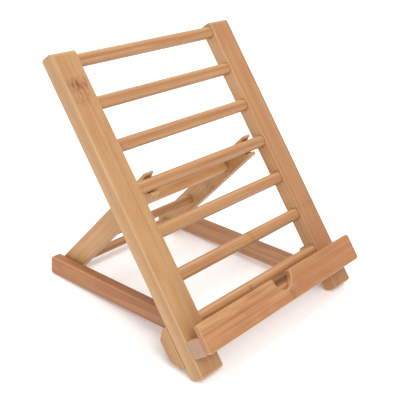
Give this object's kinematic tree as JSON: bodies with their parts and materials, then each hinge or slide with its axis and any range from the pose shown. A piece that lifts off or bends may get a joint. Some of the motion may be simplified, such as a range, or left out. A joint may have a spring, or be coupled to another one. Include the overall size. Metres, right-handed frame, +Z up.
{
  "type": "photo album stand",
  "caption": "Folding ladder-back bamboo stand that holds an album or book at a slant on a thumb-notched ledge, propped by hooked arms from a hinged base frame.",
  "frame": {"origin": "on the table, under the middle of the open stand's width and depth", "axes": "+X to the reader's right, +Y away from the reader towards the back of the base frame, +Z up from the table"},
  "size_m": [0.24, 0.2182, 0.2274],
  "materials": {
    "stile_bamboo": "satin, pale tan bamboo with straight long grain",
    "rung_bamboo": "satin, warm orange-tan bamboo dowel",
    "ledge_bamboo": "satin, warm tan bamboo with grain along the ledge",
    "base_bamboo": "satin, orange-brown bamboo",
    "prop_bamboo": "satin, orange-brown bamboo"
  },
  "bodies": {
    "base_frame": {"base_rail_left": "base_bamboo", "base_rail_right": "base_bamboo", "rear_axle": "base_bamboo"},
    "front_frame": {"stile_left": "stile_bamboo", "stile_right": "stile_bamboo", "rung_1": "rung_bamboo", "rung_2": "rung_bamboo", "rung_3": "rung_bamboo", "rung_4": "rung_bamboo", "rung_5": "rung_bamboo", "rung_6": "rung_bamboo", "rung_7": "rung_bamboo", "ledge_shelf": "ledge_bamboo", "ledge_lip": "ledge_bamboo", "pivot_block_left": "stile_bamboo", "pivot_block_right": "stile_bamboo", "front_axle": "rung_bamboo"},
    "prop_frame": {"prop_arm_left": "prop_bamboo", "prop_arm_right": "prop_bamboo", "prop_spacer_dowel": "prop_bamboo", "prop_crossbar": "prop_bamboo"}
  },
  "joints": [
    {"name": "front_tilt", "type": "hinge", "parent": "base_frame", "child": "front_frame", "pos_m": [0, -0.0692, 0.01749], "axis": [1, 0, 0], "range_deg": [0, 120]},
    {"name": "prop_fold", "type": "hinge", "parent": "base_frame", "child": "prop_frame", "pos_m": [0, 0.0962, 0.00927], "axis": [1, 0, 0], "range_deg": [0, 48]}
  ],
  "couplings": [
    {"joint": "prop_fold", "follows": "front_tilt", "ratio": 0.4}
  ]
}
